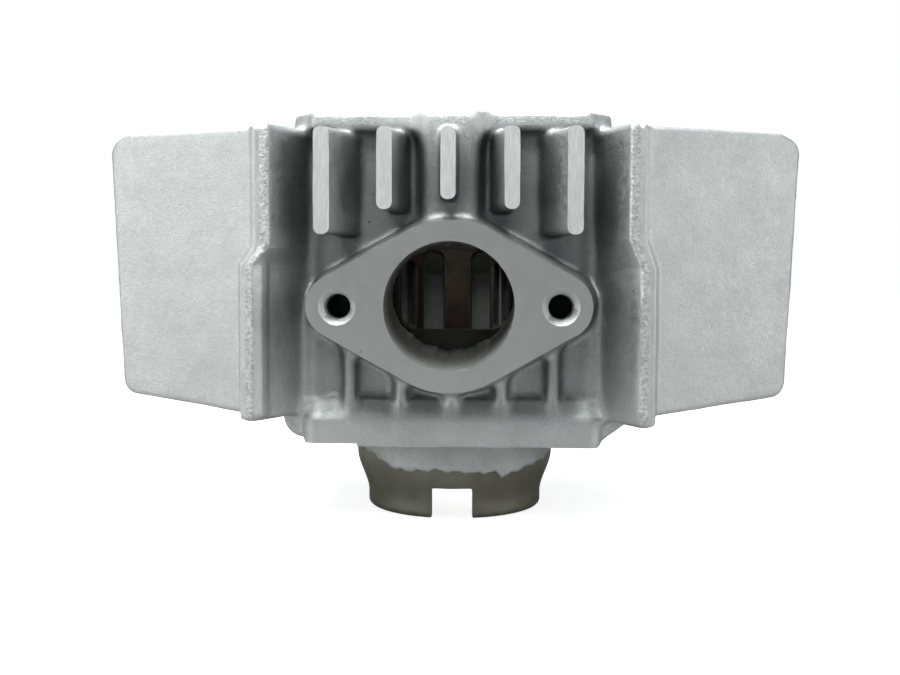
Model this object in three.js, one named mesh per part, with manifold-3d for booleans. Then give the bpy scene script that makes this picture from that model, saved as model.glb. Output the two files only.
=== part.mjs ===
// Cylinder barrel of a small two-stroke engine: a finned aluminium casting round an iron liner.
// Millimetres, +Z up along the bore, -Y towards the exhaust flange, origin under the spigot on the bore axis.
import * as THREE from "three";
import { ConvexGeometry } from "three/addons/geometries/ConvexGeometry.js";
import { mergeVertices } from "three/addons/utils/BufferGeometryUtils.js";
import Module from "manifold-3d";

const wasm = await Module();
wasm.setup();

// ---- Driving dimensions ----

const GAP = 0.3; // air kept between neighbouring nodes
const ROUND = 48; // segments of a full circle
const HOLE_ROUND = 24; // segments of a small hole
const HALF_LENGTH = 50; // flange face to -Y, rear fin tips to +Y

const bore = { radius: 20, linerRadius: 23, shoulderRadius: 26, chamfer: 0.8, skirtChamfer: 1.2 };
const heights = { spigot: 20, baseTop: 28, finTop: 94.7, deckBottom: 95, deckTop: 99 };
const skirt = { notchWidth: 10, notchHeight: 7.8, taperBottom: 4.8, taperEase: 4.5, shoulderBottom: 13.6 };
const studs = { offset: 24, radius: 3.75 };
const port = { centreHeight: 53.9, mouthRadius: 14.65, halfWidth: 15.2, bottom: 42.9, top: 68.5 };
const exhaustWindow = { halfWidth: 13.5, bottom: 47.6, top: 67.2, corner: 4.5 };
const flange = {
  bigRadius: 19.3,
  tipRadius: 7.1,
  holeOffset: 25,
  holeRadius: 2.6,
  holeDepth: 15,
  thickness: 8,
};
const neckDraft = 2; // the neck behind the flange spreads by this on its way to the wall
const core = { halfWidth: 35, front: 30, rear: 34.5, corner: 6, clearRadius: bore.linerRadius + GAP };
const centreBoss = { halfWidth: 6.9, front: 37.5, corner: 1 };
const deck = { halfWidth: 38, cutDepth: 6, faceHalfWidth: 32.5, front: 34, rear: 34.5, corner: 1.5 };
const base = { halfWidth: 35.25, front: 34.5, rear: 34.5, corner: 5 };
const baseLugSize = {
  leftReach: 40.8,
  rightReach: 44.3,
  bottom: 21.5,
  halfLength: 31,
  roundness: 5,
  flat: 2, // width of the right lug's level underside, and height of its outer edge
};
const collar = { radius: 27, bottom: 12.3, leftDegrees: 58, rightDegrees: 72 };
const transfer = {
  outer: 31.5,
  halfWidth: 12,
  windowBottom: 46,
  windowTop: 60,
  windowHalfWidth: 9,
  roof: 66,
};
const wrap = { outer: 27.6, from: 32, to: 68, bottom: 30, top: 65.5 }; // from and to: degrees from the rear
const rearWindow = { from: 34, to: 50, bottom: 45.5, top: 64.8 };
const boost = { outer: 31, inner: 4.2, reach: 10, windowBottom: 43.6, windowTop: 67.5, roof: 72, corner: 2 };
const roofSlant = 6; // the outer side of each passage ends this far below its roof
const columnInner = { front: 17.5, rear: transfer.halfWidth + GAP, side: transfer.halfWidth + GAP };
const wallInner = { passage: core.clearRadius - 8, exhaust: 10, front: 16 };
const portBlock = { bottom: 36, top: 72 };
const beyond = 110; // further out than any part of the casting
const boreMiddle = 5; // window cuts stop this far from the bore axis

const upperFins = {
  front: 44,
  thickness: 3.8,
  apex: 39,
  fan: [-29.5, -15.05, -0.45, 14.15, 28.6],
  bottoms: [70.2, 75.9, 78.2, 75.9, 70.2],
  corner: 3,
};
const lowerRibs = { front: 33.2, thickness: 2.6, corner: 0.8, centres: [-24.3, -12, 0, 12, 24.3] };
const rearFins = { apex: 39, thickness: 3, fan: [-31.5, -21, -10.5, 0, 10.5, 21, 31.5], corner: 4 };
const web = {
  thickness: 3.7,
  rootX: core.halfWidth + GAP,
  rootY: 26,
  ridgeY: 44,
  upperX: 43.3,
  lowerX: 46.5,
  stepTop: 67.5,
  stepBottom: 62.8,
  bottom: 28.3,
};
const sideFins = {
  thickness: 3,
  tipTop: 81.8,
  tipBottom: 78.7,
  rootBottom: 28.6,
  tipRise: 3.4,
  corner: 5,
  rootOverlap: 3,
  webReach: 12,
  rootY: [-web.ridgeY, -18, 0, 18, web.ridgeY],
  tipY: [-29.5, -14.7, 0, 14.7, 29.5],
};

// ---- Solids from geometry, and back ----

function toSolid(geometry) {
  const bare = geometry.clone();
  bare.deleteAttribute("normal");
  bare.deleteAttribute("uv");
  const merged = mergeVertices(bare, 1e-4);
  return new wasm.Manifold(
    new wasm.Mesh({
      numProp: 3,
      vertProperties: new Float32Array(merged.attributes.position.array),
      triVerts: new Uint32Array(merged.index.array),
    }),
  );
}

function toGeometry(solid) {
  const mesh = solid.getMesh();
  const geometry = new THREE.BufferGeometry();
  geometry.setAttribute("position", new THREE.BufferAttribute(mesh.vertProperties, mesh.numProp));
  geometry.setIndex(new THREE.BufferAttribute(mesh.triVerts, 1));
  const facets = geometry.toNonIndexed();
  facets.computeVertexNormals();
  return facets;
}

// ---- Outlines ----

// A closed outline through [x, y, radius] corners, each rounded by its radius.
function roundedOutline(corners) {
  const shape = new THREE.Shape();
  const count = corners.length;
  corners.forEach(([x, y, radius = 0], i) => {
    const corner = new THREE.Vector2(x, y);
    const before = new THREE.Vector2(...corners[(i + count - 1) % count].slice(0, 2));
    const after = new THREE.Vector2(...corners[(i + 1) % count].slice(0, 2));
    const start = corner.clone().add(before.sub(corner).setLength(radius));
    const end = corner.clone().add(after.sub(corner).setLength(radius));
    if (i === 0) shape.moveTo(start.x, start.y);
    else shape.lineTo(start.x, start.y);
    if (radius > 0) shape.quadraticCurveTo(corner.x, corner.y, end.x, end.y);
  });
  shape.closePath();
  return shape;
}

function rectangle(x0, y0, x1, y1, radius = 0) {
  return roundedOutline([
    [x0, y0, radius],
    [x1, y0, radius],
    [x1, y1, radius],
    [x0, y1, radius],
  ]);
}

// The two-bolt flange outline: tip circles joined to the big circle by their common tangents.
function diamondOutline(grow = 0) {
  const big = flange.bigRadius + grow;
  const tip = flange.tipRadius + grow;
  const tangent = Math.acos((big - tip) / flange.holeOffset);
  const shape = new THREE.Shape();
  shape.absarc(flange.holeOffset, 0, tip, -tangent, tangent);
  shape.absarc(0, 0, big, tangent, Math.PI - tangent);
  shape.absarc(-flange.holeOffset, 0, tip, Math.PI - tangent, Math.PI + tangent);
  shape.absarc(0, 0, big, Math.PI + tangent, 2 * Math.PI - tangent);
  return shape;
}

// ---- Prisms and cylinders ----

function extrusion(shape, depth, curveSegments) {
  return new THREE.ExtrudeGeometry(shape, { depth, bevelEnabled: false, curveSegments });
}

// An outline in X and Y, raised between two heights.
function upright(shape, bottom, top, curveSegments = 5) {
  return toSolid(extrusion(shape, top - bottom, curveSegments).translate(0, 0, bottom));
}

// An outline in X and Z, run between two Y values.
function frontPrism(shape, near, far, curveSegments = 5) {
  return toSolid(extrusion(shape, far - near, curveSegments).rotateX(Math.PI / 2).translate(0, far, 0));
}

function block(x0, x1, y0, y1, z0, z1) {
  const geometry = new THREE.BoxGeometry(x1 - x0, y1 - y0, z1 - z0);
  return toSolid(geometry.translate((x0 + x1) / 2, (y0 + y1) / 2, (z0 + z1) / 2));
}

function verticalCylinder(x, y, radius, bottom, top, segments = ROUND) {
  const geometry = new THREE.CylinderGeometry(radius, radius, top - bottom, segments);
  return toSolid(geometry.rotateX(Math.PI / 2).translate(x, y, (bottom + top) / 2));
}

function cylinderAlongY(x, z, radius, near, far, segments) {
  const geometry = new THREE.CylinderGeometry(radius, radius, far - near, segments);
  return toSolid(geometry.translate(x, (near + far) / 2, z));
}

// The hull of two front-view outlines, each at its own Y value.
function frontHull(nearShape, near, farShape, far, divisions) {
  const places = [];
  for (const [shape, y] of [[nearShape, near], [farShape, far]]) {
    for (const point of shape.getPoints(divisions)) {
      places.push(new THREE.Vector3(point.x, y, point.y));
    }
  }
  return toSolid(new ConvexGeometry(places));
}

// A plate that stands on edge from one plan point to another, its outline given as
// [distance from the first point, height, corner radius].
function standingPlate(from, to, thickness, corners) {
  const geometry = extrusion(roundedOutline(corners), thickness, 5);
  geometry.translate(0, 0, -thickness / 2).rotateX(Math.PI / 2);
  geometry.rotateZ(Math.atan2(to[1] - from[1], to[0] - from[0]));
  return toSolid(geometry.translate(from[0], from[1], 0));
}

// A solid made in the +X +Y quarter, mirrored into the quarter of the two given signs.
function towards(sideX, sideY, solid) {
  const inX = sideX < 0 ? solid.mirror([1, 0, 0]) : solid;
  return sideY < 0 ? inX.mirror([0, 1, 0]) : inX;
}

// ---- Shared cutting shapes ----

const linerClearance = verticalCylinder(0, 0, core.clearRadius, -1, heights.deckTop + 1);
const flangeBack = -HALF_LENGTH + flange.thickness;
const studHoles = [-1, 1]
  .flatMap((sx) => [-1, 1].map((sy) => [sx * studs.offset, sy * studs.offset]))
  .map(([x, y]) => verticalCylinder(x, y, studs.radius, 0, heights.deckTop + 1, HOLE_ROUND))
  .reduce((joined, hole) => joined.add(hole));
const portPassage = exhaustPassage();
const flangeHoles = [-1, 1]
  .map((side) =>
    cylinderAlongY(
      side * flange.holeOffset,
      port.centreHeight,
      flange.holeRadius,
      -HALF_LENGTH - 1,
      -HALF_LENGTH + flange.holeDepth,
      HOLE_ROUND,
    ),
  )
  .reduce((joined, hole) => joined.add(hole));

// The passage narrows from a circle at the flange face to a flat-bottomed oval at the liner.
function exhaustPassage() {
  const mouth = new THREE.Shape().absarc(0, port.centreHeight, port.mouthRadius, 0, 2 * Math.PI);
  const middle = (port.top + port.bottom) / 2;
  const throat = new THREE.Shape().absellipse(0, middle, port.halfWidth, port.top - middle, 0, 2 * Math.PI);
  return frontHull(mouth, -HALF_LENGTH - 1, throat, -bore.linerRadius + 1, ROUND / 2);
}

// A wedge from the bore axis between two angles from the rear, on the side of the given sign.
function rearWedge(side, { from, to, bottom, top }, radius) {
  const shape = new THREE.Shape();
  const [startAngle, endAngle] = [90 - to, 90 - from].map((degrees) => THREE.MathUtils.degToRad(degrees));
  shape.moveTo(0, 0);
  shape.absarc(0, 0, radius, startAngle, endAngle, false);
  return towards(side, 1, upright(shape, bottom, top, 8));
}

function diamondPrism(grow, near, far) {
  return frontPrism(diamondOutline(grow), near, far, 12).translate(0, 0, port.centreHeight);
}

// The drafted neck between the flange and the wall, its outline grown by the given amount.
function neckHull(grow) {
  const near = diamondOutline(grow);
  const far = diamondOutline(grow + neckDraft);
  return frontHull(near, flangeBack + GAP, far, -core.front - GAP, 8).translate(0, 0, port.centreHeight);
}

// ---- Materials ----

const aluminium = { color: 0xb4b8b5, roughness: 0.6, metalness: 0.85 };
const castIron = { color: 0x55564c, roughness: 0.5, metalness: 0.8 };

const barrel = new THREE.Group();
barrel.name = "cylinder_barrel";

function addNode(name, solid, finish = aluminium) {
  const mesh = new THREE.Mesh(toGeometry(solid), new THREE.MeshStandardMaterial(finish));
  mesh.name = name;
  barrel.add(mesh);
}

// ---- Liner ----

function liner() {
  const { radius, linerRadius, shoulderRadius, chamfer, skirtChamfer } = bore;
  const shoulderTop = heights.baseTop - GAP;
  const taper = new THREE.CubicBezierCurve(
    new THREE.Vector2(linerRadius, skirt.taperBottom),
    new THREE.Vector2(linerRadius, skirt.taperBottom + skirt.taperEase),
    new THREE.Vector2(shoulderRadius, skirt.shoulderBottom - skirt.taperEase),
    new THREE.Vector2(shoulderRadius, skirt.shoulderBottom),
  );
  const profile = [
    new THREE.Vector2(radius + chamfer, 0),
    new THREE.Vector2(linerRadius - skirtChamfer, 0),
    new THREE.Vector2(linerRadius, skirtChamfer),
    ...taper.getPoints(6),
    new THREE.Vector2(shoulderRadius, shoulderTop),
    new THREE.Vector2(linerRadius, shoulderTop),
    new THREE.Vector2(linerRadius, heights.deckTop),
    new THREE.Vector2(radius + chamfer, heights.deckTop),
    new THREE.Vector2(radius, heights.deckTop - chamfer),
    new THREE.Vector2(radius, chamfer),
    new THREE.Vector2(radius + chamfer, 0),
  ];
  let sleeve = toSolid(new THREE.LatheGeometry(profile, ROUND).rotateX(Math.PI / 2));
  const notch = block(-skirt.notchWidth / 2, skirt.notchWidth / 2, -beyond, beyond, -1, skirt.notchHeight);
  sleeve = sleeve.subtract(notch);
  const { halfWidth, bottom, top, corner } = exhaustWindow;
  const exhaustCut = frontPrism(rectangle(-halfWidth, bottom, halfWidth, top, corner), -beyond, -boreMiddle);
  sleeve = sleeve.subtract(exhaustCut);
  const transferWindows = block(
    -beyond,
    beyond,
    -transfer.windowHalfWidth,
    transfer.windowHalfWidth,
    transfer.windowBottom,
    transfer.windowTop,
  );
  sleeve = sleeve.subtract(transferWindows);
  for (const side of [-1, 1]) {
    const [x0, x1] = [side * boost.inner, side * boost.reach].sort((a, b) => a - b);
    const window = rectangle(x0, boost.windowBottom, x1, boost.windowTop, boost.corner);
    sleeve = sleeve.subtract(frontPrism(window, boreMiddle, beyond));
    sleeve = sleeve.subtract(rearWedge(side, rearWindow, core.clearRadius + 1));
  }
  return sleeve;
}

addNode("cylinder_liner", liner(), castIron);

// ---- Deck and base ----

function headDeck() {
  const { halfWidth, cutDepth, faceHalfWidth, front, rear, corner } = deck;
  const outline = roundedOutline([
    [-faceHalfWidth, -front, corner],
    [faceHalfWidth, -front, corner],
    [halfWidth, -front + cutDepth, corner],
    [halfWidth, rear - cutDepth, corner],
    [faceHalfWidth, rear, corner],
    [-faceHalfWidth, rear, corner],
    [-halfWidth, rear - cutDepth, corner],
    [-halfWidth, -front + cutDepth, corner],
  ]);
  return upright(outline, heights.deckBottom, heights.deckTop).subtract(linerClearance).subtract(studHoles);
}

// An arc of ring at the front of the spigot, from the collar's left end to its right end.
function collarArc(innerRadius, outerRadius, bottom, top, spareDegrees) {
  const startAngle = THREE.MathUtils.degToRad(-90 - collar.leftDegrees - spareDegrees);
  const endAngle = THREE.MathUtils.degToRad(-90 + collar.rightDegrees + spareDegrees);
  const shape = new THREE.Shape();
  shape.absarc(0, 0, outerRadius, startAngle, endAngle, false);
  shape.absarc(0, 0, innerRadius, endAngle, startAngle, true);
  return upright(shape, bottom, top, 16);
}

function baseFlange() {
  const outline = rectangle(-base.halfWidth, -base.front, base.halfWidth, base.rear, base.corner);
  const [below, above] = [heights.spigot - 1, heights.baseTop + 1];
  const shoulderHole = verticalCylinder(0, 0, bore.shoulderRadius + GAP, below, above);
  const collarHole = collarArc(bore.shoulderRadius, collar.radius + GAP, below, above, 1);
  const { outer, halfWidth } = transfer;
  const sideSlots = block(-outer, outer, -halfWidth, halfWidth, below, above);
  const rearSlot = block(-halfWidth, halfWidth, 0, boost.outer, below, above);
  return upright(outline, heights.spigot, heights.baseTop)
    .subtract(shoulderHole)
    .subtract(collarHole)
    .subtract(studHoles)
    .subtract(sideSlots)
    .subtract(rearSlot);
}

// The left lug has a rounded lower corner, the right one a slanting underside.
function baseLug(side) {
  const root = base.halfWidth + GAP;
  const corners =
    side < 0
      ? [
          [-root, baseLugSize.bottom],
          [-root, heights.baseTop],
          [-baseLugSize.leftReach, heights.baseTop],
          [-baseLugSize.leftReach, baseLugSize.bottom, baseLugSize.roundness],
        ]
      : [
          [root, baseLugSize.bottom],
          [root + baseLugSize.flat, baseLugSize.bottom],
          [baseLugSize.rightReach, heights.baseTop - baseLugSize.flat],
          [baseLugSize.rightReach, heights.baseTop],
          [root, heights.baseTop],
        ];
  return frontPrism(roundedOutline(corners), -baseLugSize.halfLength, baseLugSize.halfLength);
}

addNode("casting_head_deck", headDeck());
addNode("casting_base_flange", baseFlange());
addNode("casting_base_lug_left", baseLug(-1));
addNode("casting_base_lug_right", baseLug(1));
addNode(
  "casting_spigot_collar",
  collarArc(bore.shoulderRadius + GAP, collar.radius, collar.bottom, heights.baseTop - GAP, 0),
);

// ---- Walls round the liner ----

const wallBottom = heights.baseTop + GAP;
const wallTop = heights.finTop;

function studColumn(sideX, sideY) {
  const innerX = sideY < 0 ? columnInner.front : columnInner.rear;
  const outerY = sideY < 0 ? core.front : core.rear;
  const outline = roundedOutline([
    [innerX, columnInner.side],
    [core.halfWidth, columnInner.side],
    [core.halfWidth, outerY, core.corner],
    [innerX, outerY],
  ]);
  return towards(sideX, sideY, upright(outline, wallBottom, wallTop));
}

// A wall outside a gas passage, thick above the passage's slanting roof. Built to +X, then turned.
function passageWall(passageOuter, wallOuter, roof) {
  const inner = wallInner.passage;
  const profile = roundedOutline([
    [passageOuter, wallBottom],
    [wallOuter, wallBottom],
    [wallOuter, wallTop],
    [inner, wallTop],
    [inner, roof],
    [core.clearRadius, roof],
    [passageOuter, roof - roofSlant],
  ]);
  return frontPrism(profile, -transfer.halfWidth, transfer.halfWidth);
}

function exhaustPassageWall() {
  const halfWidth = columnInner.front - GAP;
  const bottom = portBlock.bottom + GAP;
  const wall = block(-halfWidth, halfWidth, -core.front, -wallInner.exhaust, bottom, portBlock.top);
  return wall.subtract(portPassage);
}

function frontWall(bottom, top) {
  const halfWidth = columnInner.front - GAP;
  return block(-halfWidth, halfWidth, -core.front, -wallInner.front, bottom, top);
}

for (const [nameX, sideX] of [["left", -1], ["right", 1]]) {
  for (const [nameY, sideY] of [["front", -1], ["rear", 1]]) {
    let column = studColumn(sideX, sideY).subtract(linerClearance).subtract(studHoles);
    if (sideY > 0) column = column.subtract(rearWedge(sideX, wrap, wrap.outer));
    addNode(`casting_stud_column_${nameY}_${nameX}`, column);
  }
  const rightWall = passageWall(transfer.outer, core.halfWidth, transfer.roof).subtract(linerClearance);
  addNode(`casting_transfer_wall_${nameX}`, towards(sideX, 1, rightWall));
}
const rearWall = passageWall(boost.outer, core.rear, boost.roof).rotate([0, 0, 90]);
addNode("casting_boost_wall_rear", rearWall.subtract(linerClearance));
addNode("casting_exhaust_passage_wall", exhaustPassageWall().subtract(linerClearance));
addNode("casting_front_wall_lower", frontWall(wallBottom, portBlock.bottom).subtract(linerClearance));
addNode("casting_front_wall_upper", frontWall(portBlock.top + GAP, wallTop).subtract(linerClearance));

// ---- Exhaust boss ----

// The column over the neck, cut away where the head deck crosses it.
function frontBoss() {
  const bottom = port.centreHeight + flange.bigRadius + neckDraft + GAP;
  const { halfWidth, front, corner } = centreBoss;
  const outline = rectangle(-halfWidth, -front, halfWidth, -core.front - GAP, corner);
  const deckBand = block(-beyond, beyond, -deck.front - GAP, beyond, wallTop, beyond);
  return upright(outline, bottom, heights.deckTop).subtract(deckBand);
}

addNode(
  "casting_exhaust_flange",
  diamondPrism(0, -HALF_LENGTH, flangeBack).subtract(portPassage).subtract(flangeHoles),
);
addNode(
  "casting_exhaust_neck",
  neckHull(0).subtract(portPassage).subtract(flangeHoles),
);
addNode("casting_front_boss", frontBoss());

// ---- Fins at the front and rear ----

// A fin of the front or rear fan: a plate in the vertical plane through the fan's apex,
// cut off at the wall and at its reach. side is -1 for the front and 1 for the rear.
function fanFin({ side, apex, tipX, reach, bottom, top, thickness, corner, wall }) {
  const length = Math.hypot(tipX, reach + apex);
  const rootLength = apex;
  const corners = [
    [rootLength, bottom],
    [length, bottom, corner],
    [length, top, corner],
    [rootLength, top],
  ];
  const plate = standingPlate([0, -apex], [tipX, reach], thickness, corners);
  const insideWall = block(-beyond, beyond, -beyond, wall + GAP, 0, beyond);
  const beyondReach = block(-beyond, beyond, reach, beyond, 0, beyond);
  return towards(1, side, plate.subtract(insideWall).subtract(beyondReach));
}

upperFins.fan.forEach((tipX, i) => {
  const fin = fanFin({
    side: -1,
    apex: upperFins.apex,
    tipX,
    reach: upperFins.front,
    bottom: upperFins.bottoms[i],
    top: heights.finTop,
    thickness: upperFins.thickness,
    corner: upperFins.corner,
    wall: Math.abs(tipX) < centreBoss.halfWidth ? centreBoss.front : core.front,
  });
  addNode(`casting_upper_fin_${i + 1}`, fin);
});

rearFins.fan.forEach((tipX, i) => {
  const fin = fanFin({
    side: 1,
    apex: rearFins.apex,
    tipX,
    reach: HALF_LENGTH,
    bottom: wallBottom,
    top: heights.finTop,
    thickness: rearFins.thickness,
    corner: rearFins.corner,
    wall: core.rear,
  });
  addNode(`casting_rear_fin_${i + 1}`, fin);
});

lowerRibs.centres.forEach((x, i) => {
  const half = lowerRibs.thickness / 2;
  const outline = rectangle(x - half, -lowerRibs.front, x + half, -core.front - GAP, lowerRibs.corner);
  const rib = upright(outline, wallBottom, port.centreHeight).subtract(neckHull(GAP));
  addNode(`casting_lower_rib_${i + 1}`, rib);
});

// ---- Corner webs and side fins ----

// One storey of a web, built in the +X +Y corner: the hull of its plan quads at two heights,
// which reach the two given distances to the inner and outer side of its middle line.
function webStorey([bottom, bottomRidgeX], [top, topRidgeX], inward, outward) {
  const points = [];
  for (const [height, ridgeX] of [[bottom, bottomRidgeX], [top, topRidgeX]]) {
    const direction = new THREE.Vector2(ridgeX - web.rootX, web.ridgeY - web.rootY).normalize();
    const across = new THREE.Vector2(direction.y, -direction.x);
    for (const [x, y] of [[web.rootX, web.rootY], [ridgeX, web.ridgeY]]) {
      for (const distance of [-inward, outward]) {
        points.push(new THREE.Vector3(x + distance * across.x, y + distance * across.y, height));
      }
    }
  }
  return toSolid(new ConvexGeometry(points));
}

// The web from the wall to the corner ridge. A stepped one moves its ridge outwards below the
// step, to clear the exhaust nuts.
function cornerWeb(stepped, inward = web.thickness / 2, outward = web.thickness / 2) {
  const levels = stepped
    ? [
        [web.bottom, web.lowerX],
        [web.stepBottom, web.lowerX],
        [web.stepTop, web.upperX],
        [heights.finTop, web.upperX],
      ]
    : [
        [web.bottom, web.upperX],
        [heights.finTop, web.upperX],
      ];
  const storeys = levels.slice(1).map((top, i) => webStorey(levels[i], top, inward, outward));
  const insideWall = block(0, web.rootX, 0, beyond, 0, beyond);
  return storeys.reduce((joined, storey) => joined.add(storey)).subtract(insideWall);
}

function sideFin(rootX, rootY, tipY) {
  const topLength = Math.hypot(sideFins.tipTop - rootX, tipY - rootY);
  const bottomLength = topLength - (sideFins.tipTop - sideFins.tipBottom);
  const corners = [
    [0, sideFins.rootBottom],
    [bottomLength, sideFins.rootBottom + sideFins.tipRise, sideFins.corner],
    [topLength, heights.finTop, sideFins.corner],
    [0, heights.finTop],
  ];
  return standingPlate([rootX, rootY], [sideFins.tipTop, tipY], sideFins.thickness, corners);
}

for (const [nameX, sideX] of [["left", -1], ["right", 1]]) {
  for (const [nameY, sideY] of [["front", -1], ["rear", 1]]) {
    addNode(`casting_corner_web_${nameY}_${nameX}`, towards(sideX, sideY, cornerWeb(sideY < 0)));
  }
  sideFins.rootY.forEach((rootY, i) => {
    const atRidge = Math.abs(rootY) === web.ridgeY;
    const sideY = rootY < 0 ? -1 : 1;
    const rootX = atRidge ? web.upperX - sideFins.rootOverlap : web.rootX;
    let fin = sideFin(rootX, Math.abs(rootY), Math.abs(sideFins.tipY[i]));
    if (atRidge) fin = fin.subtract(cornerWeb(sideY < 0, sideFins.webReach, web.thickness / 2 + GAP));
    addNode(`casting_side_fin_${nameX}_${i + 1}`, towards(sideX, sideY, fin));
  });
}

export default barrel;
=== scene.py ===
"""Looks of a small two-stroke cylinder barrel: one seamless casting round its iron liner.

Both pieces are carved as signed distance fields in millimetres, meshed, and then machined
with exact cuts where the real part is faced, drilled or tapped.
"""

import math

import bmesh
import bpy
import numpy as np
import openvdb
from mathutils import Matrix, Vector


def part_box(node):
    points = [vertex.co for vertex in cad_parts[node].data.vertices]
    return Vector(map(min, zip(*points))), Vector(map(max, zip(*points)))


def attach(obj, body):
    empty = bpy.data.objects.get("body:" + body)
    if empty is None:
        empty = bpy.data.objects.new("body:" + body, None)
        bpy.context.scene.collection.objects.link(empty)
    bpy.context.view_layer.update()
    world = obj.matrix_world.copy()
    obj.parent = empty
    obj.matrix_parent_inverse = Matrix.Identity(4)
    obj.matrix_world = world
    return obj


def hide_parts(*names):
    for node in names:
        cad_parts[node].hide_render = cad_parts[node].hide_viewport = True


MM = 0.001

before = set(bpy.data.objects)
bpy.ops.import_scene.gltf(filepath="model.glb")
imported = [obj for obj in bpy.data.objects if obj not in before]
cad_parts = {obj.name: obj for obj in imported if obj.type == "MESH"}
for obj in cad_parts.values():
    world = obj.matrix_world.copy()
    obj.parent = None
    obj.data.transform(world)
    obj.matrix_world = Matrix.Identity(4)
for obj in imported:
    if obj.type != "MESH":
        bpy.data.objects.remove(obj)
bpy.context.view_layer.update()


def node_box(node):
    """A CAD node's lowest and highest corners, in millimetres."""
    low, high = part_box(node)
    return np.array(low) / MM, np.array(high) / MM


# ---- Places from the frame, in millimetres ----

BASE_LOW, BASE_HIGH = node_box("casting_base_flange")
DECK_LOW, DECK_HIGH = node_box("casting_head_deck")
FLANGE_LOW, FLANGE_HIGH = node_box("casting_exhaust_flange")
BOSS_LOW, BOSS_HIGH = node_box("casting_front_boss")
COLUMN_LOW, COLUMN_HIGH = node_box("casting_stud_column_front_right")
REAR_COLUMN_HIGH = node_box("casting_stud_column_rear_right")[1]
WEB_LOW = node_box("casting_corner_web_front_right")[0]
WING_HIGH = node_box("casting_side_fin_right_1")[1]
LEFT_LUG_LOW, LEFT_LUG_HIGH = node_box("casting_base_lug_left")
RIGHT_LUG_LOW, RIGHT_LUG_HIGH = node_box("casting_base_lug_right")
LINER_HIGH = node_box("cylinder_liner")[1]
COLLAR_LOW, COLLAR_HIGH = node_box("casting_spigot_collar")

UPPER_FINS = [node_box(f"casting_upper_fin_{i}") for i in range(1, 6)]
REAR_FINS = [node_box(f"casting_rear_fin_{i}") for i in range(1, 8)]
LOWER_RIBS = [node_box(f"casting_lower_rib_{i}") for i in range(1, 6)]

FACE_Y = FLANGE_LOW[1]
DECK_TOP = DECK_HIGH[2]
BASE_BOTTOM = BASE_LOW[2]
BASE_TOP = BASE_HIGH[2]
FIN_TOP = WING_HIGH[2]
FIN_FRONT = UPPER_FINS[0][0][1]
REAR_TIPS = REAR_FINS[0][1][1]
RIDGE_Y = WEB_LOW[1]
PORT_Z = (FLANGE_LOW[2] + FLANGE_HIGH[2]) / 2
BIG_RADIUS = (FLANGE_HIGH[2] - FLANGE_LOW[2]) / 2
HOLE_OFFSET = 25.0  # from the port's middle to each exhaust stud hole
TIP_RADIUS = FLANGE_HIGH[0] - HOLE_OFFSET
CORE_HALF = COLUMN_HIGH[0]
CORE_FRONT = COLUMN_LOW[1]
CORE_REAR = REAR_COLUMN_HIGH[1]
PORT_RADIUS = 14.65
PORT_RISE = 3.6  # the port's floor rises by this on its way to the liner
STUD_OFFSET = 24.0  # from the bore's axis to each cylinder stud hole, along X and Y
STUD_RADIUS = 3.75
BORE_RADIUS = 20.0
LINER_RADIUS = 23.0
WINDOW_BOTTOM = 47.6  # the exhaust window in the liner
WINDOW_TOP = 67.4
SHOULDER_RADIUS = LINER_HIGH[0]
SHOULDER_TOP = COLLAR_HIGH[2]
COLLAR_RADIUS = -COLLAR_LOW[1]
FAN_APEX = 39.0  # each fan of fins points at a line this far from the bore's axis
SUNK = 4.0  # how far a shape runs into the one it stands on
SURFACE_WAVES = 0.15  # how far the waves of the cast surface may stand out


# ---- Signed distances ----


def soft_min(first, second, blend):
    """The smaller distance, with a fillet about `blend` wide where the two meet."""
    if blend == 0:
        return np.minimum(first, second)
    near = np.maximum(blend - np.abs(first - second), 0) / blend
    return np.minimum(first, second) - near * near * (blend / 4)


def overlap(first, second, rounding=0.0):
    """What two bodies share, its edge rounded."""
    a = first + rounding
    b = second + rounding
    beyond = np.sqrt(np.maximum(a, 0) ** 2 + np.maximum(b, 0) ** 2)
    return np.minimum(np.maximum(a, b), 0) + beyond - rounding


def slab(value, low, high):
    return np.abs(value - (low + high) / 2) - (high - low) / 2


def smooth_step(value, start, end):
    t = np.clip((value - start) / (end - start), 0, 1)
    return t * t * (3 - 2 * t)


def polygon(px, py, corners, rounding=0.0):
    """Distance to a convex anticlockwise polygon, its corners rounded."""
    points = np.array(corners, dtype=float)
    edges = np.roll(points, -1, axis=0) - points
    normals = np.stack([edges[:, 1], -edges[:, 0]], axis=1)
    normals /= np.linalg.norm(normals, axis=1)[:, None]
    offsets = np.einsum("ij,ij->i", normals, points) - rounding
    points = []
    for i in range(len(offsets)):
        pair = normals[[i - 1, i]]
        points.append(np.linalg.solve(pair, offsets[[i - 1, i]]))
    inside = None
    nearest = None
    for i, start in enumerate(points):
        edge = points[(i + 1) % len(points)] - start
        ax = px - start[0]
        ay = py - start[1]
        t = np.clip((ax * edge[0] + ay * edge[1]) / (edge @ edge), 0, 1)
        squared = (ax - t * edge[0]) ** 2 + (ay - t * edge[1]) ** 2
        side = ax * normals[i][0] + ay * normals[i][1]
        nearest = squared if nearest is None else np.minimum(nearest, squared)
        inside = side if inside is None else np.maximum(inside, side)
    return np.where(inside < 0, inside, np.sqrt(nearest)) - rounding


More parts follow.
